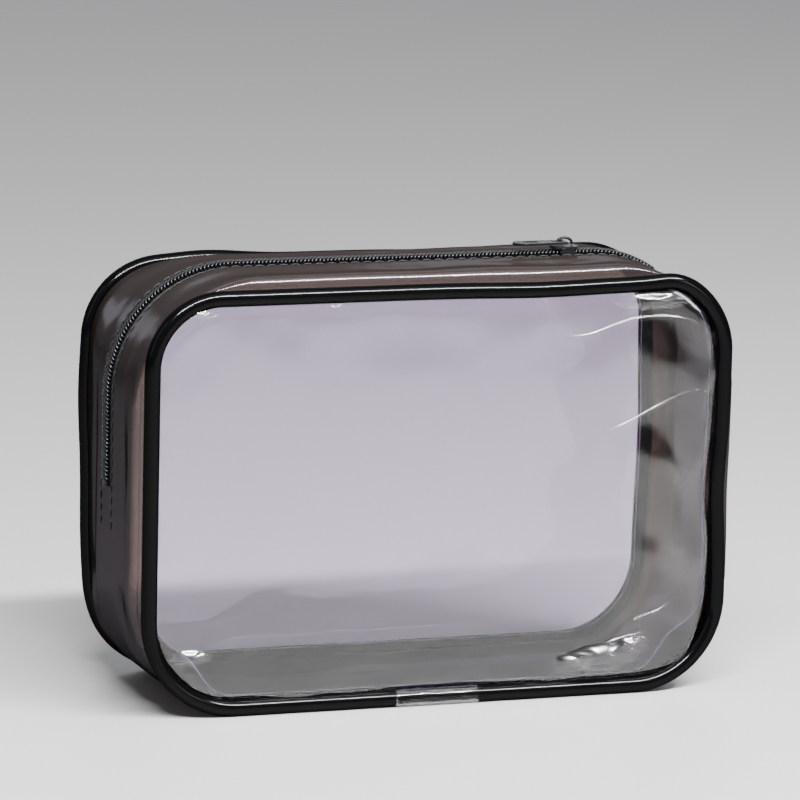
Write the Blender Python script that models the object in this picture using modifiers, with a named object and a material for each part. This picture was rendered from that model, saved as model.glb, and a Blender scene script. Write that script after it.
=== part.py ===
"""Clear makeup bag: two clear panels, a smoke gusset, black piping and a nylon coil zipper.

Metres, +Z up, front towards -Y.  The bag stands on its lower edge, and the origin is
the middle of its footprint on the table.
"""
import math

import bmesh
import bpy
from mathutils import Matrix, Vector

# ---------------------------------------------------------------- driving dimensions
WIDTH = 0.246               # across the piping, left to right
HEIGHT = 0.170              # across the piping, bottom to top
PIPING_RADIUS = 0.0032
PIPING_Y = 0.0425           # each piping loop lies this far from the middle
GAP = 0.0003                # left between pieces that touch
RIM_RADII = {"bottom_left": 0.040, "bottom_right": 0.038, "top_right": 0.032, "top_left": 0.031}

CROWN_TOP = 0.1732          # the gusset's outer face along the zipper
CROWN_HALF_WIDTH = 0.1258
CROWN_SHIFT = 0.0008        # it bulges a little further to the right
CROWN_BOTTOM = 0.0012
CROWN_RADIUS = 0.050        # the gusset rounds its corners more gently along the zipper
CROWN_RADII = {"bottom_left": 0.043, "bottom_right": 0.043,
               "top_right": CROWN_RADIUS, "top_left": CROWN_RADIUS}
CROWN_HALF_FLAT = 0.016     # and it is flat across for this far on each side of the middle
GUSSET_HALF_DEPTH = PIPING_Y - PIPING_RADIUS - 0.0010   # room for the tape patch
GUSSET_THICKNESS = 0.0006
PANEL_THICKNESS = 0.0008
PANEL_INSET = 2 * PIPING_RADIUS + 0.0010   # clear of the tape patch on the piping

SLIT_HALF = 0.0054          # the slit that shows the coil
ZIP_LEFT_END = 0.0885       # height of the coil's end on the left side
ZIP_RIGHT_ANGLE = math.radians(34)   # the coil runs this far round the right corner
TAPE_TAIL = 0.0190          # tape beyond the coil's left end
TAPE_HALF_WIDTH = 0.015
TAPE_THICKNESS = 0.0005
COIL_INNER = 0.0009
COIL_OUTER = 0.0031
COIL_THICKNESS = 0.0022
THREAD_RADIUS = 0.00025
ZIP_STITCH_Y = 0.0068

SLIDER_X = 0.066            # middle of the slider when the zipper is closed
SLIDER_LENGTH = 0.0105
SLIDER_PLATE = 0.0011
SLIDER_LIP = 0.0008
PULL_LENGTH = 0.022
PULL_WIDTH = 0.0072
PULL_THICKNESS = 0.0011
PATCH_LENGTH = 0.035        # clear tape wrapped round each piping's butt joint

CORNER_STEPS = 9
SIDE_STEPS = {"right": 7, "top": 12, "left": 7, "bottom": 10}

# how the soft vinyl has settled: side, which loop, where along it, how far, how wide
SETTLING = (
    ("right", "front", 0.082, -0.0016, 0.020),
    ("right", "rear", 0.090, 0.0012, 0.030),
    ("left", "rear", 0.116, 0.0014, 0.024),
    ("left", "rear", 0.032, -0.0014, 0.018),
    ("top", "rear", -0.072, 0.0019, 0.020),
    ("top", "rear", 0.026, -0.0008, 0.022),
    ("top", "front", 0.040, -0.0008, 0.026),
    ("top", "front", 0.104, 0.0016, 0.014),
)


# ---------------------------------------------------------------- scene and materials
def clear_scene():
    for obj in list(bpy.data.objects):
        bpy.data.objects.remove(obj, do_unlink=True)


def new_collection(name):
    collection = bpy.data.collections.new(name)
    bpy.context.scene.collection.children.link(collection)
    return collection


def material(name, colour, roughness, metallic=0.0, alpha=1.0):
    mat = bpy.data.materials.new(name)
    mat.use_nodes = True
    bsdf = mat.node_tree.nodes["Principled BSDF"]
    bsdf.inputs["Base Color"].default_value = (*colour, 1.0)
    bsdf.inputs["Roughness"].default_value = roughness
    bsdf.inputs["Metallic"].default_value = metallic
    bsdf.inputs["Alpha"].default_value = alpha
    return mat


def add_object(name, data, mat, collection):
    obj = bpy.data.objects.new(name, data)
    data.materials.append(mat)
    collection.objects.link(obj)
    return obj


# ---------------------------------------------------------------- outlines
def outline(half_width, low, high, radii):
    """Points and outward normals (x, z, nx, nz) of a rounded rectangle, from its right side up."""
    corners = (
        ("top_right", half_width, high, 0, "right"),
        ("top_left", -half_width, high, 90, "top"),
        ("bottom_left", -half_width, low, 180, "left"),
        ("bottom_right", half_width, low, 270, "bottom"),
    )
    points = []
    previous = (half_width, low + radii["bottom_right"])
    for name, x, z, start, side in corners:
        radius = radii[name]
        centre = Vector((x - math.copysign(radius, x), z - math.copysign(radius, z - low - 0.001)))
        arc = []
        for step in range(CORNER_STEPS + 1):
            angle = math.radians(start + 90 * step / CORNER_STEPS)
            normal = (math.cos(angle), math.sin(angle))
            arc.append((centre.x + radius * normal[0], centre.y + radius * normal[1], *normal))
        nx, nz = arc[0][2:]
        for step in range(1, SIDE_STEPS[side]):
            part = step / SIDE_STEPS[side]
            points.append((previous[0] + part * (arc[0][0] - previous[0]),
                           previous[1] + part * (arc[0][1] - previous[1]), nx, nz))
        points.extend(arc)
        previous = arc[-1][:2]
    return points


RIM = outline(WIDTH / 2, 0.0, HEIGHT, RIM_RADII)
CROWN = outline(CROWN_HALF_WIDTH, CROWN_BOTTOM, CROWN_TOP, CROWN_RADII)


def rim_share(y):
    """0 in the flat middle of the gusset, 1 at its two rims."""
    past = (abs(y) - CROWN_HALF_FLAT) / (GUSSET_HALF_DEPTH - CROWN_HALF_FLAT)
    return min(max(past, 0.0), 1.0) ** 2


def settle(x, y, z):
    """Outward shift of a point of the loop, from the SETTLING table."""
    shift = Vector((0, 0, 0))
    share = rim_share(y)
    for side, loop, middle, amount, width in SETTLING:
        if (loop == "front") != (y < 0):
            continue
        if side == "top" and z > HEIGHT * 0.7:
            shift.z += share * amount * math.exp(-((x - middle) / width) ** 2)
        if side == "right" and x > 0:
            shift.x += share * amount * math.exp(-((z - middle) / width) ** 2)
        if side == "left" and x < 0:
            shift.x -= share * amount * math.exp(-((z - middle) / width) ** 2)
    return shift


def rim_ring(y, inset):
    """The piping's loop, pulled in by inset, at depth y."""
    ring = []
    for x, z, nx, nz in RIM:
        ring.append(Vector((x - nx * inset, y, z - nz * inset)) + settle(x, y, z))
    return ring


def gusset_ring(y):
    """The gusset's outer face at depth y, between the crowned middle and the rim."""
    share = rim_share(y)
    ring = []
    for rim, crown in zip(RIM, CROWN):
        edge = Vector((rim[0] - rim[2] * PIPING_RADIUS, y, rim[1] - rim[3] * PIPING_RADIUS))
        middle = Vector((crown[0] + CROWN_SHIFT, y, crown[1]))
        ring.append(middle.lerp(edge, share) + settle(rim[0], y, rim[1]))
    return ring


def zip_route(tail, right_angle):
    """Points and normals (x, z, nx, nz) along the zipper, from its left end to its right end."""
    top = CROWN_TOP - CROWN_RADIUS
    left_bend = CROWN_SHIFT - CROWN_HALF_WIDTH + CROWN_RADIUS
    right_bend = CROWN_SHIFT + CROWN_HALF_WIDTH - CROWN_RADIUS
    low = ZIP_LEFT_END - tail
    route = []
    for step in range(6):
        route.append((left_bend - CROWN_RADIUS, low + (top - low) * step / 6, -1.0, 0.0))
    for step in range(13):
        angle = math.radians(180 - 90 * step / 12)
        normal = (math.cos(angle), math.sin(angle))
        route.append((left_bend + CROWN_RADIUS * normal[0], top + CROWN_RADIUS * normal[1], *normal))
    for step in range(1, 8):
        route.append((left_bend + (right_bend - left_bend) * step / 8, CROWN_TOP, 0.0, 1.0))
    for step in range(6):
        angle = math.radians(90) - right_angle * step / 5
        normal = (math.cos(angle), math.sin(angle))
        route.append((right_bend + CROWN_RADIUS * normal[0], top + CROWN_RADIUS * normal[1], *normal))
    return route


# ---------------------------------------------------------------- shape builders
def loft(rings, closed_rings, capped):
    """A surface through rings of equal point counts, with its faces pointing out."""
    bm = bmesh.new()
    rows = [[bm.verts.new(point) for point in ring] for ring in rings]
    count = len(rows[0])
    last = count if closed_rings else count - 1
    for row, following in zip(rows, rows[1:]):
        for i in range(last):
            j = (i + 1) % count
            bm.faces.new((row[i], row[j], following[j], following[i]))
    if capped:
        bm.faces.new(rows[0])
        bm.faces.new(reversed(rows[-1]))
    bmesh.ops.recalc_face_normals(bm, faces=bm.faces)
    mesh = bpy.data.meshes.new("loft")
    bm.to_mesh(mesh)
    bm.free()
    return mesh


def strip_along_zip(name, route, y_near, y_far, bottom, top, mat, collection):
    """A flat strip that follows the zipper, from bottom to top above the gusset's outer face."""
    rings = []
    for x, z, nx, nz in route:
        section = ((y_near, bottom), (y_far, bottom), (y_far, top), (y_near, top))
        rings.append([Vector((x + nx * out, y, z + nz * out)) for y, out in section])
    return add_object(name, loft(rings, True, True), mat, collection)


def tube(name, points, radius, resolution, cyclic, mat, collection):
    curve = bpy.data.curves.new(name, "CURVE")
    curve.dimensions = "3D"
    curve.bevel_depth = radius
    curve.bevel_resolution = resolution
    curve.use_fill_caps = not cyclic
    spline = curve.splines.new("POLY")
    spline.points.add(len(points) - 1)
    for target, point in zip(spline.points, points):
        target.co = (*point, 1.0)
    spline.use_cyclic_u = cyclic
    return add_object(name, curve, mat, collection)


def plate(name, outline_points, thickness, mat, collection):
    """A flat outline in its own XY plane, thickened on both sides."""
    curve = bpy.data.curves.new(name, "CURVE")
    curve.dimensions = "2D"
    curve.fill_mode = "BOTH"
    curve.extrude = thickness / 2
    spline = curve.splines.new("POLY")
    spline.points.add(len(outline_points) - 1)
    for target, (u, v) in zip(spline.points, outline_points):
        target.co = (u, v, 0.0, 1.0)
    spline.use_cyclic_u = True
    return add_object(name, curve, mat, collection)


def block(name, size, centre, mat, collection, bevel=0.0):
    """A box with its edges rounded, scaled in its mesh so that its own scale stays 1."""
    bm = bmesh.new()
    bmesh.ops.create_cube(bm, size=1.0)
    bmesh.ops.scale(bm, vec=size, verts=bm.verts)
    mesh = bpy.data.meshes.new(name)
    bm.to_mesh(mesh)
    bm.free()
    obj = add_object(name, mesh, mat, collection)
    obj.location = centre
    if bevel:
        edge = obj.modifiers.new("Bevel", "BEVEL")
        edge.width = bevel
        edge.segments = 2
        edge.limit_method = "ANGLE"
    return obj


def use_as_cutter(obj):
    obj.hide_render = True
    obj.display_type = "WIRE"


def boolean(obj, other, operation):
    step = obj.modifiers.new(operation.title(), "BOOLEAN")
    step.operation = operation
    step.solver = "EXACT"
    step.object = other
    use_as_cutter(other)


def soften(obj, width):
    edge = obj.modifiers.new("Bevel", "BEVEL")
    edge.width = width
    edge.segments = 2
    edge.limit_method = "ANGLE"
    edge.angle_limit = math.radians(40)


# ---------------------------------------------------------------- the bag's pieces
def build_panels(parts, clear):
    for name, side in (("front_panel", -1), ("rear_panel", 1)):
        y = side * (PIPING_Y - 0.0006)
        ring = rim_ring(side * PIPING_Y, PANEL_INSET)
        panel = plate(name, [(p.x, p.z) for p in ring], PANEL_THICKNESS, clear, parts)
        panel.location = (0, y, 0)
        panel.rotation_euler = (math.radians(90), 0, 0)


def build_gusset(parts, cutters, smoke):
    rows = 6
    outer = [CROWN_HALF_FLAT + (GUSSET_HALF_DEPTH - CROWN_HALF_FLAT) * i / rows for i in range(rows + 1)]
    depths = [-y for y in reversed(outer)] + outer
    gusset = add_object("gusset", loft([gusset_ring(y) for y in depths], True, False), smoke, parts)
    for polygon in gusset.data.polygons:
        polygon.use_smooth = True
    wall = gusset.modifiers.new("Wall", "SOLIDIFY")
    wall.thickness = GUSSET_THICKNESS
    wall.offset = -1.0
    right = zip_route(0.0, ZIP_RIGHT_ANGLE)[-1][0]
    left = -WIDTH
    high = HEIGHT * 1.2
    size = (right - left, 2 * SLIT_HALF, high - ZIP_LEFT_END)
    centre = ((right + left) / 2, 0, (high + ZIP_LEFT_END) / 2)
    boolean(gusset, block("slit_cutter", size, centre, smoke, cutters), "DIFFERENCE")


def build_piping(parts, black, clear_tape):
    for name, side in (("front", -1), ("rear", 1)):
        tube(f"{name}_piping", rim_ring(side * PIPING_Y, PIPING_RADIUS), PIPING_RADIUS, 2, True, black, parts)
        inner = PIPING_RADIUS + GAP
        outer = inner + 0.0003
        sides = 14
        span = math.radians(288)
        section = []
        for radius, order in ((outer, range(sides + 1)), (inner, range(sides, -1, -1))):
            for step in order:
                angle = math.pi / 2 - span / 2 + span * step / sides
                section.append((radius * math.cos(angle), radius * math.sin(angle)))
        patch = plate(f"{name}_piping_joint_tape", section, PATCH_LENGTH, clear_tape, parts)
        patch.rotation_euler = (math.radians(90), 0, math.radians(90))
        patch.location = (0, side * PIPING_Y, PIPING_RADIUS)


def build_seam_threads(parts, thread):
    for name, side in (("front", -1), ("rear", 1)):
        ring = rim_ring(side * (PIPING_Y - 0.0019), PANEL_INSET + 0.0008)
        tube(f"{name}_seam_thread", ring, THREAD_RADIUS, 0, True, thread, parts)


def build_zipper(parts, tape_cloth, nylon, thread):
    coil_route = zip_route(0.0, ZIP_RIGHT_ANGLE)
    tape_route = zip_route(TAPE_TAIL, ZIP_RIGHT_ANGLE + math.radians(6))
    tape_top = -GUSSET_THICKNESS - GAP
    coil_bottom = tape_top + GAP
    for name, side in (("front", -1), ("rear", 1)):
        strip_along_zip(f"zipper_tape_{name}", tape_route, side * (COIL_INNER + 0.0001),
                        side * TAPE_HALF_WIDTH, tape_top - TAPE_THICKNESS, tape_top, tape_cloth, parts)
        strip_along_zip(f"zipper_coil_{name}", coil_route, side * COIL_INNER, side * COIL_OUTER,
                        coil_bottom, coil_bottom + COIL_THICKNESS, nylon, parts)
        lift = GAP + THREAD_RADIUS
        line = [(x + nx * lift, side * ZIP_STITCH_Y, z + nz * lift) for x, z, nx, nz in tape_route]
        tube(f"zip_thread_{name}", line, THREAD_RADIUS, 0, False, thread, parts)


def build_bar_tacks(parts, thread):
    size = (0.0010, 2 * COIL_OUTER, 0.0020)
    left = block("bar_tack_left", size, (CROWN_SHIFT - CROWN_HALF_WIDTH, 0, ZIP_LEFT_END - 0.0016), thread, parts, 0.0003)
    left.location.x -= GAP + 0.0005
    right = block("bar_tack_right", (0.0020, 2 * COIL_OUTER, 0.0010), (0, 0, 0), thread, parts, 0.0003)
    angle = ZIP_RIGHT_ANGLE + math.radians(2.2)
    reach = CROWN_RADIUS + GAP + 0.0005
    right.location = (CROWN_SHIFT + CROWN_HALF_WIDTH - CROWN_RADIUS + reach * math.sin(angle), 0,
                      CROWN_TOP - CROWN_RADIUS + reach * math.cos(angle))
    right.rotation_euler = (0, angle, 0)


def shield(length, width, nose):
    """The slider plate's outline: a broad shoulder to the right and a narrower tail to the left."""
    half = length / 2
    quarter = [(half, -width / 2 + nose), (half - nose, -width / 2), (0.0, -width / 2),
               (-half * 0.35, -width / 2 + 0.0004), (-half + nose / 2, -width / 2 + 0.0008),
               (-half, -width / 2 + 0.0018)]
    return quarter + [(u, -v) for u, v in reversed(quarter)]


def curve_to_mesh(obj):
    """Swap a curve object for a mesh one with welded caps."""
    depsgraph = bpy.context.evaluated_depsgraph_get()
    mesh = bpy.data.meshes.new_from_object(obj.evaluated_get(depsgraph))
    bm = bmesh.new()
    bm.from_mesh(mesh)
    bmesh.ops.remove_doubles(bm, verts=bm.verts, dist=0.000001)
    bm.to_mesh(mesh)
    bm.free()
    name = obj.name
    collection = obj.users_collection[0]
    matrix = obj.matrix_world.copy()
    bpy.data.objects.remove(obj, do_unlink=True)
    solid = bpy.data.objects.new(name, mesh)
    collection.objects.link(solid)
    solid.matrix_world = matrix
    return solid


def build_slider(parts, cutters, metal):
    coil_top = CROWN_TOP - GUSSET_THICKNESS + COIL_THICKNESS
    tape_bottom = CROWN_TOP - GUSSET_THICKNESS - GAP - TAPE_THICKNESS
    width = 2 * (COIL_OUTER + GAP + SLIDER_LIP)
    origin = Vector((SLIDER_X, 0, coil_top + GAP))
    body = plate("slider_body", shield(SLIDER_LENGTH, width, 0.0016), SLIDER_PLATE, metal, parts)
    body.location = origin + Vector((0, 0, SLIDER_PLATE / 2))
    bpy.context.view_layer.update()
    body = curve_to_mesh(body)
    lip_top = origin.z + SLIDER_PLATE / 2
    lip_low = CROWN_TOP - GUSSET_THICKNESS
    sunk = 0.0003
    for label, side in (("lip_front", -1), ("lip_rear", 1)):
        y = side * (COIL_OUTER + GAP + SLIDER_LIP / 2 - 0.00005)
        size = (SLIDER_LENGTH * 0.55, SLIDER_LIP - 0.0001, lip_top - lip_low)
        lip = block(label, size, (SLIDER_X + 0.0004, y, (lip_top + lip_low) / 2), metal, cutters)
        boolean(body, lip, "UNION")
    post_low = tape_bottom - GAP - sunk
    post_size = (0.0030, 2 * (COIL_INNER - GAP), lip_top - post_low)
    post_x = SLIDER_X + SLIDER_LENGTH * 0.22
    boolean(body, block("post", post_size, (post_x, 0, (lip_top + post_low) / 2), metal, cutters), "UNION")
    under_size = (SLIDER_LENGTH * 0.9, width * 0.96, 0.0009)
    under_centre = (SLIDER_X, 0, tape_bottom - GAP - under_size[2] / 2)
    boolean(body, block("under_plate", under_size, under_centre, metal, cutters), "UNION")
    soften(body, 0.00018)
    return origin.z + SLIDER_PLATE


def build_bridge(parts, metal, plate_top):
    """The arch on the slider that the pull hangs on."""
    radius = 0.0006
    reach = 0.0033
    low = plate_top + GAP + 0.0001
    high = plate_top + 0.0031
    points = [(SLIDER_X - reach, 0, low)]
    for step in range(9):
        angle = math.pi * step / 8
        points.append((SLIDER_X - reach * math.cos(angle), 0, low + 0.0006 + (high - low - 0.0006) * math.sin(angle)))
    points.append((SLIDER_X + reach, 0, low))
    tube("slider_bridge", points, radius, 2, False, metal, parts)


def build_pull(parts, cutters, metal, plate_top):
    """The pull tab lies along the zipper, and its origin is the bar under the bridge."""
    axis = Vector((SLIDER_X, 0, plate_top + 0.0013))
    tip_radius = PULL_WIDTH / 2
    outline_points = []
    for step in range(9):
        angle = math.radians(90 + 180 * step / 8)
        outline_points.append((-PULL_LENGTH + tip_radius + tip_radius * math.cos(angle),
                               tip_radius * math.sin(angle)))
    head = PULL_THICKNESS / 2
    outline_points += [(head, -PULL_WIDTH * 0.40), (head, PULL_WIDTH * 0.40)]
    pull = plate("pull_tab", outline_points, PULL_THICKNESS, metal, parts)
    pull.location = axis
    bpy.context.view_layer.update()
    pull = curve_to_mesh(pull)
    window = (0.0050, 0.0026, 0.01)
    centre = axis + Vector((-head - window[0] / 2 - 0.00005, 0, 0))
    boolean(pull, block("pull_window", window, centre, metal, cutters), "DIFFERENCE")
    grip = (0.0060, 0.0030, 0.01)
    centre = axis + Vector((-PULL_LENGTH + 0.0075, 0, 0))
    boolean(pull, block("pull_eye", grip, centre, metal, cutters), "DIFFERENCE")
    soften(pull, 0.00022)


def main():
    clear_scene()
    parts = new_collection("makeup_bag")
    cutters = new_collection("cutters")
    clear = material("clear_vinyl", (0.80, 0.79, 0.84), 0.06, alpha=0.25)
    smoke = material("smoke_vinyl", (0.10, 0.09, 0.08), 0.15, alpha=0.65)
    black = material("black_piping", (0.006, 0.006, 0.007), 0.12)
    clear_tape = material("clear_tape", (0.55, 0.55, 0.55), 0.10, alpha=0.35)
    cloth = material("zipper_tape", (0.012, 0.011, 0.012), 0.85)
    nylon = material("zipper_coil", (0.010, 0.010, 0.011), 0.35)
    thread = material("thread", (0.02, 0.02, 0.02), 0.6)
    metal = material("black_metal", (0.02, 0.02, 0.022), 0.3, metallic=0.9)
    build_panels(parts, clear)
    build_gusset(parts, cutters, smoke)
    build_piping(parts, black, clear_tape)
    build_seam_threads(parts, thread)
    build_zipper(parts, cloth, nylon, thread)
    build_bar_tacks(parts, thread)
    plate_top = build_slider(parts, cutters, metal)
    build_bridge(parts, metal, plate_top)
    build_pull(parts, cutters, metal, plate_top)


main()
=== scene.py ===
"""Looks of the clear makeup bag: soft vinyl, glossy piping and a nylon coil zipper on the frame."""
import math

import bmesh
import bpy
from mathutils import Matrix, Vector, noise


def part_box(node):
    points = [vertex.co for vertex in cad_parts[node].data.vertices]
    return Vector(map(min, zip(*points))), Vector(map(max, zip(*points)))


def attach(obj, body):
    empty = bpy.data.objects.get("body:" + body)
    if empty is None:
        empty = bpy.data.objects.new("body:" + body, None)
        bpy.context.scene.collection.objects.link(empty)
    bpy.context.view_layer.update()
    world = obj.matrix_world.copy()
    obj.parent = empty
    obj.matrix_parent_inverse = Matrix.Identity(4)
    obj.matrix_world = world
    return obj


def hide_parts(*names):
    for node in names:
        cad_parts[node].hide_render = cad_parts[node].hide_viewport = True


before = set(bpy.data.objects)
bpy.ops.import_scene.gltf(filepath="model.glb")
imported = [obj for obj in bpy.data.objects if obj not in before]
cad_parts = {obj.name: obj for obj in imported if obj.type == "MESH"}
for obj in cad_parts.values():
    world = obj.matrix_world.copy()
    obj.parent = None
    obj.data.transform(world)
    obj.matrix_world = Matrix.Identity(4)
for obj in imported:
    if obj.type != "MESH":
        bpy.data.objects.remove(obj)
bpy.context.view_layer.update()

# ---------------------------------------------------------------- sizes read from the frame
piping_low, piping_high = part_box("front_piping")
rear_low, rear_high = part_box("rear_piping")
coil_low, coil_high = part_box("zipper_coil_front")
tape_low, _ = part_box("zipper_tape_front")
gusset_low, gusset_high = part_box("gusset")

PIPING_RADIUS = (piping_high.y - piping_low.y) / 2
PIPING_Y = (rear_high.y + rear_low.y) / 2
COIL_THICKNESS = 0.0022
COIL_SUNK = 0.0006                 # how far the coil lies below the gusset's outer face
COIL_PROUD = 0.0016                # and how far it stands above it
COIL_OUTER = -coil_low.y
CROWN_TOP = coil_high.z - COIL_THICKNESS + COIL_SUNK
CROWN_BOTTOM = 0.0012
CROWN_HALF_WIDTH = (gusset_high.x - gusset_low.x) / 2
CROWN_SHIFT = (gusset_high.x + gusset_low.x) / 2
CROWN_RADIUS = 0.050
LEFT_BEND = CROWN_SHIFT - CROWN_HALF_WIDTH + CROWN_RADIUS
RIGHT_BEND = CROWN_SHIFT + CROWN_HALF_WIDTH - CROWN_RADIUS
ZIP_LEFT_END = coil_low.z
TAPE_TAIL = coil_low.z - tape_low.z
ZIP_RIGHT_ANGLE = math.asin((coil_high.x - RIGHT_BEND) / (CROWN_RADIUS + COIL_PROUD))
SLIT_HALF = 0.0066

# ---------------------------------------------------------------- zipper and stitches
TAPE_RUN_ON = math.radians(6)      # the tape goes on past the coil's right end
TAPE_INNER = 0.0003
TAPE_OUTER = 0.0150
TAPE_LEVEL = -0.0009
TAPE_COLUMNS = 8
TAPE_THICKNESS = 0.0005
COIL_PITCH = 0.0016
COIL_STEPS = 14                    # points in one turn of the coil
COIL_HALF_HEIGHT = 0.00075
COIL_OVERLAP = 0.0006              # how far each row reaches past the middle, to mesh
COIL_WIRE = 0.00040
ROUTE_STEP = 0.00025
STITCH_PITCH = 0.0050
STITCH_LENGTH = 0.0038
ZIP_STITCH_Y = 0.0068
TACK_THREADS = 7
TACK_SPACING = 0.00032
TACK_HALF = 0.0030
# Each bar tack's outward arch at its middle, and the direction its threads lie side by side in.
TACK_AXES = {
    "left": (Vector((1, 0, 0)) * -0.0002, Vector((0, 0, 1))),
    "right": (Vector((0.5, 0, 0.83)) * 0.0002, Vector((0.83, 0, -0.5))),
}

# ---------------------------------------------------------------- the bag's own shape
WIDTH = 0.246
HEIGHT = 0.170
RIM_RADII = {"bottom_left": 0.040, "bottom_right": 0.038, "top_right": 0.032, "top_left": 0.031}
LOWER_CROWN_RADIUS = 0.043
FLAT_HALF = 0.013
# Fold marks of the front sheet: a few points (x, z) along each, its half width and its height.
CREASES = {
    "upper": (((0.040, 0.163), (0.050, 0.149), (0.060, 0.147), (0.082, 0.153), (0.104, 0.151),
               (0.114, 0.138), (0.115, 0.128)), 0.0014, 0.0007),
    "middle": (((0.060, 0.104), (0.080, 0.112), (0.102, 0.122), (0.115, 0.122)), 0.0009, 0.0005),
    "elbow": (((0.115, 0.122), (0.113, 0.104), (0.106, 0.087), (0.096, 0.080)), 0.0018, 0.0009),
    "low_right": (((0.110, 0.053), (0.104, 0.042), (0.095, 0.034), (0.084, 0.030), (0.087, 0.025),
                   (0.078, 0.023), (0.059, 0.018)), 0.0009, 0.0006),
    "top_left": (((-0.094, 0.164), (-0.094, 0.161), (-0.098, 0.158)), 0.0016, 0.0008),
    "scallop_left": (((-0.074, 0.164), (-0.069, 0.163), (-0.064, 0.164)), 0.0015, 0.0008),
    "scallop_right": (((-0.051, 0.164), (-0.046, 0.162), (-0.041, 0.164)), 0.0015, 0.0008),
}
# Shallow swellings of the front sheet: centre (x, z), half sizes (x, z) and height.
BUMPS = {
    "top_right": (0.088, 0.160, 0.017, 0.0036, 0.0020),
    "bottom_right": (0.070, 0.016, 0.016, 0.0060, 0.0030),
    "bottom_right_low": (0.058, 0.014, 0.009, 0.0042, 0.0020),
    "bottom_right_high": (0.083, 0.020, 0.008, 0.0040, 0.0020),
    "top_left": (-0.101, 0.161, 0.005, 0.0024, 0.0012),
    "bottom_left": (-0.103, 0.025, 0.008, 0.0036, 0.0019),
}
PANEL_RINGS = 44
PANEL_BOW = 0.0012
PANEL_SETTLED = 0.0009
PANEL_RIPPLE = 0.0032
PANEL_FOLD = 0.0022
FRONT_FACE = 0.0007                # the front sheet's face beyond the piping's middle
ROLL_START = 0.0335
ROLL_RADIUS = 0.0030
PIPING_GLOSS = (0.0048, 0.085)
SMOKE_TINT = (0.16, 0.119, 0.099)
SMOKE_MIRROR = 0.50
SMOKE_MIRROR_LIMIT = 0.030
SMOKE_HAZE = 0.20
# How much the tint deepens towards a slanting view: place on the ramp, power of the tint.
SMOKE_DEPTHS = ((0.0, 1.0), (0.3, 1.43), (0.66, 2.9), (0.9, 6))
VINYL_IOR = 1.47
FOLD_TINT = (0.99, 0.985, 0.99)
SMOKE_IOR = 1.46

CAMERA_AZIMUTH = -19.8
CAMERA_ELEVATION = 11.38
CAMERA_ROLL = 1.39
CAMERA_DISTANCE = 2.4
CAMERA_LENS = 268.5
CAMERA_SHIFT = (-0.0053, 0.0929)
AIM = (0, 0, 0.09)
FLOOR_COLOUR = (0.150, 0.149, 0.147, 1)
WORLD_COLOUR = (0.78, 0.80, 0.84, 1)
WORLD_STRENGTH = 0.75
GUSSET_EDGE = PIPING_Y - 0.0016
REAR_ROWS = 26
LIP_ROWS = 14
ROLL_ROWS = 12
DROP_ROWS = 8
CORNER_STEPS = 22
SIDE_STEPS = {"right": 84, "top": 60, "left": 60, "bottom": 60}
# Where the loops give: side, loop, middle along the side, amount and width of the bulge.
SETTLING = (
    ("right", "front", 0.082, -0.0016, 0.020),
    ("right", "rear", 0.090, 0.0012, 0.030),
    ("left", "rear", 0.116, 0.0014, 0.024),
    ("left", "rear", 0.032, -0.0014, 0.018),
    ("top", "rear", -0.072, 0.0019, 0.020),
    ("top", "rear", 0.026, -0.0008, 0.022),
    ("top", "front", 0.040, -0.0008, 0.026),
    ("top", "front", 0.104, 0.0016, 0.014),
)


def outline(half_width, low, high, radii):
    """Points and outward normals (x, z, nx, nz) of a rounded rectangle, from its right side up."""
    corners = (
        ("top_right", half_width, high, 0, "right"),
        ("top_left", -half_width, high, 90, "top"),
        ("bottom_left", -half_width, low, 180, "left"),
        ("bottom_right", half_width, low, 270, "bottom"),
    )
    points = []
    previous = (half_width, low + radii["bottom_right"])
    for name, x, z, start, side in corners:
        radius = radii[name]
        centre = Vector((x - math.copysign(radius, x), z - math.copysign(radius, z - low - 0.001)))
        arc = []
        for step in range(CORNER_STEPS + 1):
            angle = math.radians(start + 90 * step / CORNER_STEPS)
            normal = (math.cos(angle), math.sin(angle))
            arc.append((centre.x + radius * normal[0], centre.y + radius * normal[1], *normal))
        nx, nz = arc[0][2:]
        for step in range(1, SIDE_STEPS[side]):
            part = step / SIDE_STEPS[side]
            points.append((previous[0] + part * (arc[0][0] - previous[0]),
                           previous[1] + part * (arc[0][1] - previous[1]), nx, nz))
        points.extend(arc)
        previous = arc[-1][:2]
    return points


RIM = outline(WIDTH / 2, 0.0, HEIGHT, RIM_RADII)
CROWN_RADII = {name: LOWER_CROWN_RADIUS if name.startswith("bottom") else CROWN_RADIUS
               for name in RIM_RADII}
CROWN = outline(CROWN_HALF_WIDTH, CROWN_BOTTOM, CROWN_TOP, CROWN_RADII)


def past_flat(y):
    return min(max((abs(y) - FLAT_HALF) / (GUSSET_EDGE - FLAT_HALF), 0.0), 1.0)


def settle(x, y, z):
    """Outward shift of a point of the loop, from the SETTLING table."""
    shift = Vector((0, 0, 0))
    share = past_flat(y) ** 2
    for side, loop, middle, amount, width in SETTLING:
        if (loop == "front") != (y < 0):
            continue
        if side == "top" and z > HEIGHT * 0.7:
            shift.z += share * amount * math.exp(-((x - middle) / width) ** 2)
        if side == "right" and x > 0:
            shift.x += share * amount * math.exp(-((z - middle) / width) ** 2)
        if side == "left" and x < 0:
            shift.x -= share * amount * math.exp(-((z - middle) / width) ** 2)
    return shift


def rim_ring(y, inset, corner_extra=0.0):
    """The piping's loop pulled in by inset, and by more on its corners."""
    ring = []
    for x, z, nx, nz in RIM:
        pull = inset + (corner_extra * (2 * nx * nz) ** 2 if nz < 0 else 0.0)
        ring.append(Vector((x - nx * pull, y, z - nz * pull)) + settle(x, y, z))
    return ring


def bump(value, middle, width):
    return math.exp(-((value - middle) / width) ** 2)


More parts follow.
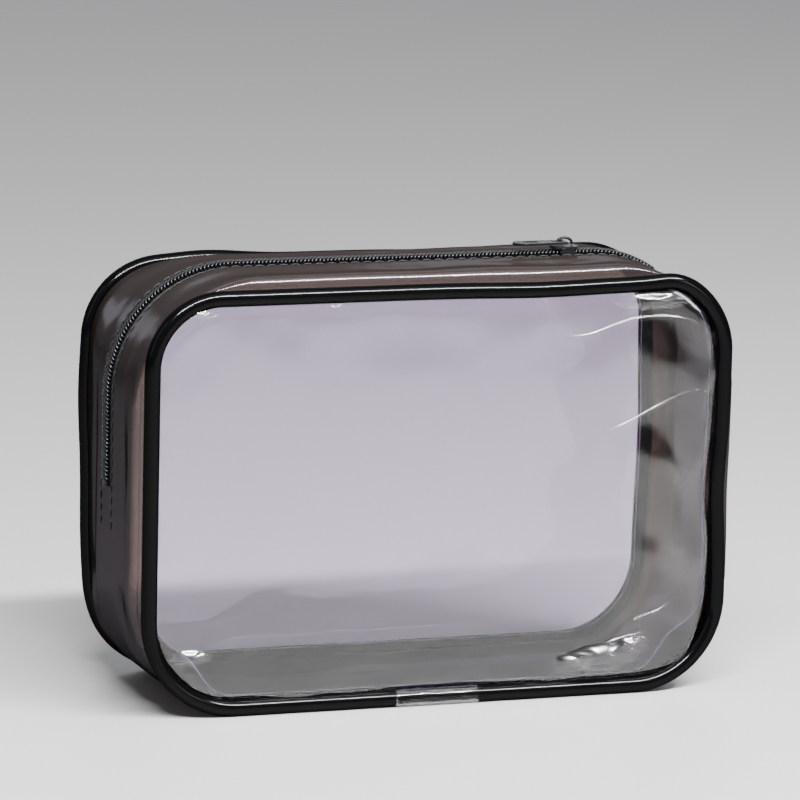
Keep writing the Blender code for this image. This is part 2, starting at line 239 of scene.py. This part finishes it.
def roll_share(depth):
    """How far the front half has dropped towards the seam: flat, a quarter-round roll, then steeply in."""
    drop = CROWN_TOP - HEIGHT + PIPING_RADIUS
    along = depth - ROLL_START
    if along <= 0:
        return 0.0
    if along < ROLL_RADIUS:
        return (ROLL_RADIUS - math.sqrt(ROLL_RADIUS ** 2 - along ** 2)) / drop
    low = ROLL_RADIUS / drop
    rest = min((along - ROLL_RADIUS) / (GUSSET_EDGE - ROLL_START - ROLL_RADIUS), 1.0)
    return low + (1 - low) * rest ** 0.22


def gusset_ring(y):
    """The gusset's outer face at depth y: rolls beside the piping, a shallow valley beside the zipper."""
    past = past_flat(y)
    depth = abs(y)
    ring = []
    for rim, crown in zip(RIM, CROWN):
        corner = (2 * abs(rim[2] * rim[3])) ** 1.5
        if y < 0:
            share = (1 - corner) * roll_share(depth) + corner * past ** 2.6
        else:
            sag = 1.3 - 0.55 * min(max((0.09 - crown[1]) / 0.04, 0.0), 1.0)
            share = past ** (sag + 1.6 * (1 - max(-rim[2], 0.0) ** 2))
        edge = Vector((rim[0] - rim[2] * PIPING_RADIUS, y, rim[1] - rim[3] * PIPING_RADIUS))
        point = Vector((crown[0] + CROWN_SHIFT, y, crown[1])).lerp(edge, share)
        normal = Vector((rim[2], 0, rim[3]))
        beside_zip = bump(depth, 0.0195, 0.0065)
        roll = bump(depth, 0.0315, 0.0045)
        upper = min(max((point.z - 0.05) / 0.06, 0.0), 1.0)
        out = -0.0010 * beside_zip * upper * (1 - corner)
        if y < 0:
            out += 0.0005 * roll * (1 - corner)
        if rim[3] < -0.5:
            out = 0.0
        soft = noise.noise(Vector((point.x * 26, y * 34, point.z * 26)) + Vector((3.1, 7.7, 1.3)))
        lower_left = bump(point.x, -0.115, 0.03) * bump(point.z, 0.028, 0.026)
        wave = math.sin(point.z * 190 + y * 95 + 1.5 * math.sin(y * 120))
        out += min(past * 3, 1.0) * (1 - past) * (0.0016 * soft + 0.0020 * lower_left * wave)
        ring.append(point + normal * out + settle(rim[0], y, rim[1]) * (past ** 2))
    return ring


def zip_route(tail, right_angle, spacing):
    """Points and normals along the zipper, evenly spaced, from its left end to its right end."""
    top = CROWN_TOP - CROWN_RADIUS
    low = ZIP_LEFT_END - tail
    straight = RIGHT_BEND - LEFT_BEND
    side = top - low
    arc = CROWN_RADIUS * math.pi / 2
    total = side + arc + straight + CROWN_RADIUS * right_angle
    count = int(total / spacing)
    route = []
    for step in range(count + 1):
        at = total * step / count
        if at < side:
            route.append((Vector((LEFT_BEND - CROWN_RADIUS, 0, low + at)), Vector((-1, 0, 0))))
        elif at < side + arc:
            angle = math.pi - (at - side) / CROWN_RADIUS
            normal = Vector((math.cos(angle), 0, math.sin(angle)))
            route.append((Vector((LEFT_BEND, 0, top)) + CROWN_RADIUS * normal, normal))
        elif at < side + arc + straight:
            route.append((Vector((LEFT_BEND + at - side - arc, 0, CROWN_TOP)), Vector((0, 0, 1))))
        else:
            angle = math.pi / 2 - (at - side - arc - straight) / CROWN_RADIUS
            normal = Vector((math.cos(angle), 0, math.sin(angle)))
            route.append((Vector((RIGHT_BEND, 0, top)) + CROWN_RADIUS * normal, normal))
    return route


# ---------------------------------------------------------------- builders
def link(obj):
    bpy.context.scene.collection.objects.link(obj)
    return obj


def surface(name, rings, mat, closed=True, fill_last=False):
    bm = bmesh.new()
    rows = [[bm.verts.new(point) for point in ring] for ring in rings]
    count = len(rows[0])
    last = count if closed else count - 1
    for row, following in zip(rows, rows[1:]):
        for i in range(last):
            j = (i + 1) % count
            bm.faces.new((row[i], row[j], following[j], following[i]))
    if fill_last:
        bm.faces.new(rows[-1])
    bmesh.ops.recalc_face_normals(bm, faces=bm.faces)
    mesh = bpy.data.meshes.new(name)
    bm.to_mesh(mesh)
    bm.free()
    for polygon in mesh.polygons:
        polygon.use_smooth = True
    mesh.materials.append(mat)
    return link(bpy.data.objects.new(name, mesh))


def thicken(obj, thickness, offset=-1.0):
    wall = obj.modifiers.new("Wall", "SOLIDIFY")
    wall.thickness = thickness
    wall.offset = offset
    return obj


def tubes(name, lines, radius, mat, closed=False, resolution=2):
    """Round strands through the given lines, as one mesh."""
    curve = bpy.data.curves.new(name, "CURVE")
    curve.dimensions = "3D"
    curve.bevel_depth = radius
    curve.bevel_resolution = resolution
    curve.use_fill_caps = not closed
    for line in lines:
        spline = curve.splines.new("POLY")
        spline.points.add(len(line) - 1)
        for target, point in zip(spline.points, line):
            target.co = (*point, 1.0)
        spline.use_cyclic_u = closed
        spline.use_smooth = True
    shape = link(bpy.data.objects.new(name + "_curve", curve))
    bpy.context.view_layer.update()
    mesh = bpy.data.meshes.new_from_object(shape.evaluated_get(bpy.context.evaluated_depsgraph_get()))
    bpy.data.objects.remove(shape, do_unlink=True)
    bm = bmesh.new()
    bm.from_mesh(mesh)
    bmesh.ops.remove_doubles(bm, verts=bm.verts, dist=0.000001)
    bm.to_mesh(mesh)
    bm.free()
    for polygon in mesh.polygons:
        polygon.use_smooth = len(polygon.vertices) == 4
    mesh.materials.clear()
    mesh.materials.append(mat)
    return link(bpy.data.objects.new(name, mesh))


def hand_in(obj, body, slot, *nodes):
    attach(obj, body)
    if nodes:
        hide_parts(*nodes)
    return obj


# ---------------------------------------------------------------- materials
def new_material(name):
    mat = bpy.data.materials.new(name)
    mat.use_nodes = True
    tree = mat.node_tree
    return mat, tree, tree.nodes["Principled BSDF"], tree.nodes["Material Output"]


def node(tree, kind, **values):
    made = tree.nodes.new(kind)
    for key, value in values.items():
        if hasattr(made, key):
            setattr(made, key, value)
        else:
            made.inputs[key.replace("_", " ").title()].default_value = value
    return made


def noise_bump(tree, bsdf, scale, strength, distance, detail=4.0):
    coords = node(tree, "ShaderNodeTexCoord")
    texture = node(tree, "ShaderNodeTexNoise", Scale=scale, Detail=detail)
    lift = node(tree, "ShaderNodeBump", Strength=strength, Distance=distance)
    tree.links.new(coords.outputs["Object"], texture.inputs["Vector"])
    tree.links.new(texture.outputs["Fac"], lift.inputs["Height"])
    tree.links.new(lift.outputs["Normal"], bsdf.inputs["Normal"])
    return texture, lift


def clear_vinyl(name, tint, bump_strength=0.25, mirror=1.0, roughness=0.045):
    """Clear sheet: it lets tinted light through and mirrors by Fresnel, with a faint haze."""
    mat, tree, bsdf, out = new_material(name)
    tree.nodes.remove(bsdf)
    through = node(tree, "ShaderNodeBsdfTransparent", Color=(*tint, 1))
    gloss = node(tree, "ShaderNodeBsdfGlossy", Roughness=roughness)
    gloss.inputs["Color"].default_value = (1, 1, 1, 1)
    fresnel = node(tree, "ShaderNodeFresnel")
    fresnel.inputs["IOR"].default_value = VINYL_IOR
    share = node(tree, "ShaderNodeMath", operation="MULTIPLY")
    share.inputs[1].default_value = mirror
    mix = node(tree, "ShaderNodeMixShader")
    _, lift = noise_bump(tree, gloss, 42.0, bump_strength, 0.0012, 1.5)
    tree.links.new(lift.outputs["Normal"], fresnel.inputs["Normal"])
    tree.links.new(fresnel.outputs[0], share.inputs[0])
    tree.links.new(share.outputs[0], mix.inputs[0])
    tree.links.new(through.outputs[0], mix.inputs[1])
    tree.links.new(gloss.outputs[0], mix.inputs[2])
    tree.links.new(mix.outputs[0], out.inputs["Surface"])
    return mat


def smoke_vinyl():
    """Tinted vinyl: the more slantwise it is seen, the less it lets through and the more it mirrors."""
    mat, tree, bsdf, out = new_material("smoke_vinyl")
    tree.nodes.remove(bsdf)
    slant = node(tree, "ShaderNodeLayerWeight", Blend=0.5)
    ramp = node(tree, "ShaderNodeValToRGB")
    while len(ramp.color_ramp.elements) < len(SMOKE_DEPTHS):
        ramp.color_ramp.elements.new(0.5)
    for element, (place, depth) in zip(ramp.color_ramp.elements, SMOKE_DEPTHS):
        element.position = place
        element.color = (*(channel ** depth for channel in SMOKE_TINT), 1)
    through = node(tree, "ShaderNodeBsdfTransparent")
    body = node(tree, "ShaderNodeBsdfDiffuse", Color=(0.022, 0.017, 0.015, 1))
    gloss = node(tree, "ShaderNodeBsdfGlossy", Roughness=0.16)
    # The mirrored share is tinted violet: painted reflection of a blue-grey wall, laid over the real
    # Fresnel gloss.
    gloss.inputs["Color"].default_value = (0.90, 0.87, 1.0, 1)
    noise_bump(tree, gloss, 60.0, 0.30, 0.0009, 2.0)
    fresnel = node(tree, "ShaderNodeFresnel")
    fresnel.inputs["IOR"].default_value = SMOKE_IOR
    weaken = node(tree, "ShaderNodeMath", operation="MULTIPLY")
    weaken.inputs[1].default_value = SMOKE_MIRROR
    limit = node(tree, "ShaderNodeMath", operation="MINIMUM")
    limit.inputs[1].default_value = SMOKE_MIRROR_LIMIT
    haze = node(tree, "ShaderNodeMixShader")
    haze.inputs[0].default_value = SMOKE_HAZE
    mix = node(tree, "ShaderNodeMixShader")
    tree.links.new(slant.outputs["Facing"], ramp.inputs["Fac"])
    tree.links.new(ramp.outputs["Color"], through.inputs["Color"])
    tree.links.new(through.outputs[0], haze.inputs[1])
    tree.links.new(body.outputs[0], haze.inputs[2])
    tree.links.new(fresnel.outputs[0], weaken.inputs[0])
    tree.links.new(weaken.outputs[0], limit.inputs[0])
    tree.links.new(limit.outputs[0], mix.inputs[0])
    tree.links.new(haze.outputs[0], mix.inputs[1])
    tree.links.new(gloss.outputs[0], mix.inputs[2])
    tree.links.new(mix.outputs[0], out.inputs["Surface"])
    return mat


def glossy_coat(name, colour, roughness, scale, strength, specular=0.4):
    """Opaque coat with a fine grain (scale, strength) that also varies its roughness."""
    mat, tree, bsdf, _ = new_material(name)
    texture, _ = noise_bump(tree, bsdf, scale, strength, 0.0004, 3.0)
    rough = node(tree, "ShaderNodeMapRange")
    rough.inputs["To Min"].default_value = roughness * 0.7
    rough.inputs["To Max"].default_value = roughness * 1.4
    tree.links.new(texture.outputs["Fac"], rough.inputs["Value"])
    tree.links.new(rough.outputs["Result"], bsdf.inputs["Roughness"])
    bsdf.inputs["Base Color"].default_value = (*colour, 1)
    bsdf.inputs["Specular IOR Level"].default_value = specular
    return mat


def piping_black():
    """Polished black vinyl: almost no body colour, mirror-sharp only where the light is strongest."""
    mat, tree, bsdf, out = new_material("black_piping")
    tree.nodes.remove(bsdf)
    body = node(tree, "ShaderNodeBsdfDiffuse", Color=(0.0003, 0.0003, 0.0004, 1))
    gloss = node(tree, "ShaderNodeBsdfGlossy", Roughness=0.14)
    gloss.inputs["Color"].default_value = (1, 1, 1, 1)
    facing = node(tree, "ShaderNodeLayerWeight", Blend=0.12)
    share = node(tree, "ShaderNodeMapRange")
    share.inputs["To Min"].default_value = PIPING_GLOSS[0]
    share.inputs["To Max"].default_value = PIPING_GLOSS[1]
    noise_bump(tree, gloss, 130.0, 0.05, 0.0004, 3.0)
    mix = node(tree, "ShaderNodeMixShader")
    tree.links.new(facing.outputs["Fresnel"], share.inputs["Value"])
    tree.links.new(share.outputs["Result"], mix.inputs[0])
    tree.links.new(body.outputs[0], mix.inputs[1])
    tree.links.new(gloss.outputs[0], mix.inputs[2])
    tree.links.new(mix.outputs[0], out.inputs["Surface"])
    return mat


def woven_tape():
    mat, tree, bsdf, _ = new_material("zipper_tape")
    coords = node(tree, "ShaderNodeTexCoord")
    across = node(tree, "ShaderNodeTexWave", bands_direction="Y", Scale=520.0, Distortion=0.6)
    along = node(tree, "ShaderNodeTexWave", bands_direction="DIAGONAL", Scale=380.0, Distortion=0.6)
    weave = node(tree, "ShaderNodeMath", operation="MULTIPLY")
    lift = node(tree, "ShaderNodeBump", Strength=0.7, Distance=0.0003)
    ramp = node(tree, "ShaderNodeValToRGB")
    ramp.color_ramp.elements[0].color = (0.002, 0.002, 0.002, 1)
    ramp.color_ramp.elements[1].color = (0.010, 0.010, 0.011, 1)
    for wave in (across, along):
        tree.links.new(coords.outputs["Object"], wave.inputs["Vector"])
    tree.links.new(across.outputs["Fac"], weave.inputs[0])
    tree.links.new(along.outputs["Fac"], weave.inputs[1])
    tree.links.new(weave.outputs[0], lift.inputs["Height"])
    tree.links.new(weave.outputs[0], ramp.inputs["Fac"])
    tree.links.new(ramp.outputs["Color"], bsdf.inputs["Base Color"])
    tree.links.new(lift.outputs["Normal"], bsdf.inputs["Normal"])
    bsdf.inputs["Roughness"].default_value = 0.85
    bsdf.inputs["Specular IOR Level"].default_value = 0.2
    return mat


MATERIALS = {
    "panel": clear_vinyl("clear_vinyl", (0.76, 0.70, 0.82), bump_strength=0.25, mirror=1.6),
    "allowance": clear_vinyl("seam_allowance", (0.115, 0.095, 0.09), bump_strength=0.25, mirror=0.5),
    "crease": clear_vinyl("clear_vinyl_crease", FOLD_TINT, bump_strength=0.35, mirror=0.30, roughness=0.17),
    "flange": glossy_coat("piping_flange", (0.003, 0.003, 0.0035), 0.35, 700.0, 0.60, 0.15),
    "bump": clear_vinyl("clear_vinyl_bump", FOLD_TINT, bump_strength=0.35, mirror=1.0, roughness=0.20),
    "tape": clear_vinyl("clear_tape", (0.90, 0.90, 0.91), bump_strength=0.5, mirror=0.22, roughness=0.08),
    "smoke": smoke_vinyl(),
    "piping": piping_black(),
    "coil": glossy_coat("zipper_coil", (0.003, 0.003, 0.0035), 0.30, 900.0, 0.20, 0.18),
    "thread": glossy_coat("thread", (0.006, 0.006, 0.007), 0.50, 2600.0, 0.50, 0.10),
    "seam_thread": glossy_coat("seam_thread", (0.03, 0.03, 0.033), 0.45, 2600.0, 0.50, 0.2),
    "raw_edge": glossy_coat("raw_edge", (0.34, 0.33, 0.46), 0.25, 300.0, 0.20),
    "cloth": woven_tape(),
    "metal": glossy_coat("black_metal", (0.0022, 0.0022, 0.0025), 0.34, 420.0, 0.08, 0.08),
}


# ---------------------------------------------------------------- camera, light and floor
def build_camera():
    azimuth, elevation, roll = (
        math.radians(degrees) for degrees in (CAMERA_AZIMUTH, CAMERA_ELEVATION, CAMERA_ROLL))
    back = Vector((math.sin(azimuth) * math.cos(elevation), -math.cos(azimuth) * math.cos(elevation),
                   math.sin(elevation)))
    right = Vector((math.cos(azimuth), math.sin(azimuth), 0))
    up = back.cross(right)
    turned_right = right * math.cos(roll) + up * math.sin(roll)
    turned_up = up * math.cos(roll) - right * math.sin(roll)
    data = bpy.data.cameras.new("camera")
    data.lens = CAMERA_LENS
    data.shift_x, data.shift_y = CAMERA_SHIFT
    camera = link(bpy.data.objects.new("camera", data))
    axes = Matrix((turned_right, turned_up, back)).transposed()
    place = Vector((0, 0, HEIGHT / 2)) + back * CAMERA_DISTANCE
    camera.matrix_world = Matrix.Translation(place) @ axes.to_4x4()
    bpy.context.scene.camera = camera


def area_light(name, place, target, size, power, colour=(1, 1, 1)):
    data = bpy.data.lights.new(name, "AREA")
    data.shape = "RECTANGLE"
    data.size, data.size_y = size
    data.energy = power
    data.color = colour
    light = link(bpy.data.objects.new(name, data))
    light.location = place
    light.rotation_euler = (Vector(target) - Vector(place)).to_track_quat("-Z", "Y").to_euler()


def build_studio():
    floor_mat, tree, bsdf, _ = new_material("floor")
    bsdf.inputs["Base Color"].default_value = FLOOR_COLOUR
    bsdf.inputs["Roughness"].default_value = 0.45
    noise_bump(tree, bsdf, 30.0, 0.03, 0.001)
    rings = [[Vector((side * 14.0, -6.0 + 2.5 * step, 0.0)) for step in range(11)] for side in (-1, 1)]
    surface("floor", rings, floor_mat, closed=False)
    world = bpy.data.worlds.new("world")
    world.use_nodes = True
    world.node_tree.nodes["Background"].inputs[0].default_value = WORLD_COLOUR
    world.node_tree.nodes["Background"].inputs[1].default_value = WORLD_STRENGTH
    bpy.context.scene.world = world
    area_light("overhead", (0.1, -0.45, 1.25), (0, 0, 0.1), (1.6, 0.85), 14)
    area_light("overhead_strip", (0.1, -0.80, 1.16), (0, 0, 0.1), (1.6, 0.06), 350)
    area_light("left_window", (-1.4, -0.3, 0.80), AIM, (0.45, 1.0), 4, (1.0, 0.99, 0.97))
    area_light("front_right", (1.1, -1.5, 0.55), AIM, (0.20, 0.7), 9)
    area_light("rear_left", (-0.8, 1.7, 0.60), AIM, (0.7, 0.3), 2.5, (0.96, 0.98, 1.0))
    area_light("rear_right", (0.95, 1.9, 0.80), AIM, (0.5, 0.3), 1.5, (0.97, 0.98, 1.0))
    area_light("far_floor", (0.0, 5.0, 3.5), (0, 5.0, 0.0), (5.0, 3.0), 150, (0.97, 0.98, 1.0))


# ---------------------------------------------------------------- pieces
def panel_wave(x, z, side):
    """How far the clear sheet bows and ripples out of its plane."""
    nearness = max(abs(x) / (WIDTH / 2), abs(z - HEIGHT / 2) / (HEIGHT / 2))
    settled = noise.noise(Vector((x * 14, side * 4.0, z * 14)))
    edge = max(nearness - 0.55, 0) / 0.45
    ripple = noise.noise(Vector((x * 38, 2.0 + side, z * 38)))
    right = bump(x, 0.105, 0.030)
    fold = math.sin(z * 150 + x * 110)
    bow = PANEL_BOW * (1 - nearness ** 2)
    near_edge = edge * (1 - edge) * (PANEL_RIPPLE * ripple + PANEL_FOLD * right * fold)
    return side * bow + PANEL_SETTLED * settled + near_edge


def build_panels():
    for name, side in (("front", -1), ("rear", 1)):
        edge = rim_ring(side * PIPING_Y, PIPING_RADIUS * 1.7)
        middle = Vector((0, side * PIPING_Y, HEIGHT / 2))
        rings = []
        for step in range(PANEL_RINGS):
            share = 1 - (step / PANEL_RINGS) ** 1.15
            ring = []
            for point in edge:
                spot = middle.lerp(point, share)
                from_edge = (point - spot).length
                pucker = 0.55 + 0.9 * noise.noise(Vector((point.x * 44, point.z * 44, 5.0 * side)))
                recess = 0.0024 * pucker * math.exp(-from_edge / 0.0026)
                wave = panel_wave(spot.x, spot.z, side) * min(from_edge / 0.006, 1)
                spot.y = side * (PIPING_Y + 0.0004 - recess) + wave
                ring.append(spot)
            rings.append(ring)
        panel = surface(f"{name}_panel_sheet", rings, MATERIALS["panel"], fill_last=True)
        hand_in(panel, "bag", "clear_vinyl", f"{name}_panel")


def smooth_path(points, spacing=0.0008):
    """A Catmull-Rom curve through the given (x, z) points."""
    spots = [Vector(point) for point in points]
    spots = [2 * spots[0] - spots[1]] + spots + [2 * spots[-1] - spots[-2]]
    path = []
    for a, b, c, d in zip(spots, spots[1:], spots[2:], spots[3:]):
        steps = max(int((c - b).length / spacing), 2)
        for step in range(steps):
            t = step / steps
            path.append(0.5 * (2 * b + (c - a) * t + (2 * a - 5 * b + 4 * c - d) * t ** 2
                               + (3 * b - a - 3 * c + d) * t ** 3))
    path.append(spots[-2])
    return path


def front_face(x, z):
    """Depth of the front sheet's outer face at (x, z)."""
    return -(PIPING_Y + FRONT_FACE) + panel_wave(x, z, -1)


def build_creases():
    """Soft ridges and shallow bumps pressed into the front sheet by folding."""
    for label, (points, half, lift) in CREASES.items():
        path = smooth_path(points)
        rows = []
        for i, spot in enumerate(path):
            ahead = path[min(i + 1, len(path) - 1)] - path[max(i - 1, 0)]
            side = Vector((-ahead.y, ahead.x)).normalized()
            taper = math.sin(math.pi * (i + 0.5) / len(path)) ** 0.5
            row = []
            for k in range(-5, 6):
                at = spot + side * (half * k / 5)
                rise = lift * taper * math.cos(math.pi * k / 10) ** 2
                row.append(Vector((at.x, front_face(at.x, at.y) - rise, at.y)))
            rows.append(row)
        ridge = surface(f"front_crease_{label}", rows, MATERIALS["crease"], closed=False)
        hand_in(ridge, "bag", "clear_vinyl")
    for label, (x, z, half_x, half_z, lift) in BUMPS.items():
        rows = []
        for ring in range(1, 13):
            radius = ring / 12
            row = []
            for turn in range(48):
                angle = 2 * math.pi * turn / 48
                ragged = 1 + 0.22 * noise.noise(Vector((math.cos(angle) * 2, math.sin(angle) * 2, x * 90)))
                at_x = x + half_x * radius * ragged * math.cos(angle)
                at_z = z + half_z * radius * ragged * math.sin(angle)
                rise = lift * (1 - radius ** 2) ** 2
                row.append(Vector((at_x, front_face(at_x, at_z) - rise, at_z)))
            rows.append(row)
        rows.reverse()
        bulge = surface(f"front_bump_{label}", rows, MATERIALS["bump"], fill_last=True)
        hand_in(bulge, "bag", "clear_vinyl")


def build_allowances():
    """The front seam's turned-in edge under the clear sheet, with the sheet's cut edge along it."""
    rings = []
    for step in range(5):
        part = step / 4
        y = -PIPING_Y + 0.0022 + 0.0042 * part
        rings.append(rim_ring(y, PIPING_RADIUS + 0.0012 + 0.0024 * part, 0.0078 * part))
    flap = surface("front_seam_allowance", rings, MATERIALS["allowance"])
    hand_in(flap, "bag", "smoke_vinyl")
    edge = tubes("front_panel_cut_edge", [rings[-1]], 0.00028, MATERIALS["raw_edge"], closed=True)
    hand_in(edge, "bag", "clear_vinyl")


def build_rear_flange():
    """The rear piping's black sewing flange, standing inside the rear panel."""
    rings = []
    for step in range(5):
        part = step / 4
        rings.append(rim_ring(PIPING_Y - 0.0036 - 0.0006 * part, PIPING_RADIUS + 0.0002 + 0.0034 * part))
    flange = surface("rear_piping_flange", rings, MATERIALS["flange"])
    hand_in(flange, "bag", "black_piping")
    edge = tubes("rear_panel_cut_edge", [rings[-1]], 0.00025, MATERIALS["raw_edge"], closed=True)
    hand_in(edge, "bag", "clear_vinyl")


def build_gusset():
    lip = SLIT_HALF
    rear = [lip + (GUSSET_EDGE - lip) * step / REAR_ROWS for step in range(REAR_ROWS + 1)]
    roll_end = ROLL_START + ROLL_RADIUS
    quarter = math.pi / 2
    front = [lip + (ROLL_START - lip) * step / LIP_ROWS for step in range(LIP_ROWS)]
    front += [ROLL_START + ROLL_RADIUS * math.sin(quarter * step / ROLL_ROWS) for step in range(ROLL_ROWS)]
    drop = GUSSET_EDGE - roll_end
    front += [roll_end + drop * (step / DROP_ROWS) ** 1.5 for step in range(DROP_ROWS + 1)]
    depths = [-y for y in reversed(front)] + rear
    rings = [gusset_ring(y) for y in depths]
    gusset = surface("gusset_skin", rings, MATERIALS["smoke"])
    right_end = RIGHT_BEND + CROWN_RADIUS * math.sin(ZIP_RIGHT_ANGLE)
    bm = bmesh.new()
    bm.from_mesh(gusset.data)
    slit = []
    for face in bm.faces:
        centre = face.calc_center_median()
        if abs(centre.y) < lip * 0.9 and centre.z > ZIP_LEFT_END and centre.x < right_end:
            slit.append(face)
    bmesh.ops.delete(bm, geom=slit, context="FACES")
    bm.to_mesh(gusset.data)
    bm.free()
    hand_in(gusset, "bag", "smoke_vinyl", "gusset")


def build_piping():
    for name, side in (("front", -1), ("rear", 1)):
        ring = rim_ring(side * PIPING_Y, PIPING_RADIUS)
        tube = tubes(f"{name}_piping_tube", [ring], PIPING_RADIUS, MATERIALS["piping"], True, 5)
        hand_in(tube, "bag", "black_piping", f"{name}_piping")


def build_joint_tapes():
    for name, side in (("front", -1), ("rear", 1)):
        low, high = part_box(f"{name}_piping_joint_tape")
        rings = []
        for step in range(41):
            x = low.x + (high.x - low.x) * step / 40
            ring = []
            for turn in range(33):
                angle = math.radians(90 - 146 + 292 * turn / 32)
                crease = noise.noise(Vector((x * 260, math.cos(angle) * 2, math.sin(angle) * 2 + side)))
                radius = PIPING_RADIUS + 0.00035 + 0.00016 * crease
                ring.append(Vector((x, side * PIPING_Y + radius * math.cos(angle),
                                    PIPING_RADIUS + radius * math.sin(angle))))
            rings.append(ring)
        patch = surface(f"{name}_tape_wrap", rings, MATERIALS["tape"], closed=False)
        thicken(patch, 0.00012, 1.0)
        hand_in(patch, "bag", "clear_tape", f"{name}_piping_joint_tape")


def build_zipper():
    tape_route = zip_route(TAPE_TAIL, ZIP_RIGHT_ANGLE + TAPE_RUN_ON, 0.002)
    coil_route = zip_route(0.0, ZIP_RIGHT_ANGLE, COIL_PITCH / COIL_STEPS)
    for name, side in (("front", -1), ("rear", 1)):
        rings = []
        for step in range(TAPE_COLUMNS + 1):
            y = side * (TAPE_INNER + (TAPE_OUTER - TAPE_INNER) * step / TAPE_COLUMNS)
            rings.append([spot + normal * (TAPE_LEVEL + 0.00006 * math.sin(i * 2.1)) + Vector((0, y, 0))
                          for i, (spot, normal) in enumerate(tape_route)])
        tape = surface(f"{name}_zip_tape", rings, MATERIALS["cloth"], closed=False)
        thicken(tape, TAPE_THICKNESS)
        hand_in(tape, "bag", "zipper_tape", f"zipper_tape_{name}")
        turns = []
        reach = (COIL_OUTER + 0.0004) / 2
        middle = side * (reach - COIL_OVERLAP)
        for i, (spot, normal) in enumerate(coil_route):
            angle = 2 * math.pi * i / COIL_STEPS + (math.pi if side > 0 else 0)
            out = -COIL_SUNK + COIL_THICKNESS / 2 + COIL_HALF_HEIGHT * math.sin(angle)
            across = reach * 0.94 * math.cos(angle)
            forward = normal.cross(Vector((0, 1, 0))) * (0.62 * across)
            turns.append(spot + forward + normal * out + Vector((0, middle + side * across, 0)))
        coil = tubes(f"{name}_coil_row", [turns], COIL_WIRE, MATERIALS["coil"], resolution=1)
        hand_in(coil, "bag", "zipper_coil", f"zipper_coil_{name}")


def build_stitches():
    route = zip_route(TAPE_TAIL, ZIP_RIGHT_ANGLE + TAPE_RUN_ON, ROUTE_STEP)
    per_stitch = round(STITCH_PITCH / ROUTE_STEP)
    length = round(STITCH_LENGTH / ROUTE_STEP)
    for name, side in (("front", -1), ("rear", 1)):
        lines = []
        for start in range(0, len(route) - length, per_stitch):
            line = []
            for k in range(0, length + 1, 3):
                spot, normal = route[start + k]
                arch = 0.00034 * math.sin(math.pi * k / length) - 0.00008
                line.append(spot + normal * arch + Vector((0, side * ZIP_STITCH_Y, 0)))
            lines.append(line)
        zip_seam = tubes(f"{name}_zip_stitches", lines, 0.00022, MATERIALS["thread"])
        hand_in(zip_seam, "bag", "thread", f"zip_thread_{name}")
        ring = rim_ring(side * (PIPING_Y - 0.0030), 2 * PIPING_RADIUS + 0.0002)
        seam_lines = []
        for start in range(0, len(ring) - 2, 2):
            a, b = ring[start], ring[start + 1]
            seam_lines.append([a, a.lerp(b, 0.5) + Vector((0, side * 0.0001, 0)), b.lerp(a, 0.15)])
        seam = tubes(f"{name}_seam_stitches", seam_lines, 0.00016, MATERIALS["seam_thread"])
        hand_in(seam, "bag", "thread", f"{name}_seam_thread")


def build_bar_tacks():
    for name in ("left", "right"):
        low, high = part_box(f"bar_tack_{name}")
        centre = (low + high) / 2
        arch, along = TACK_AXES[name]
        lines = []
        for k in range(TACK_THREADS):
            spot = centre + along * (TACK_SPACING * (k - TACK_THREADS // 2))
            lines.append([spot + Vector((0, -TACK_HALF, 0)), spot + arch, spot + Vector((0, TACK_HALF, 0))])
        tack = tubes(f"{name}_bar_tack_threads", lines, 0.00020, MATERIALS["thread"])
        hand_in(tack, "bag", "thread", f"bar_tack_{name}")


def dress_metal():
    for name in ("slider_body", "slider_bridge", "pull_tab"):
        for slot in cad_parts[name].material_slots:
            slot.material = MATERIALS["metal"]


build_camera()
build_studio()
build_panels()
build_allowances()
build_rear_flange()
build_creases()
build_gusset()
build_piping()
build_joint_tapes()
build_zipper()
build_stitches()
build_bar_tacks()
dress_metal()
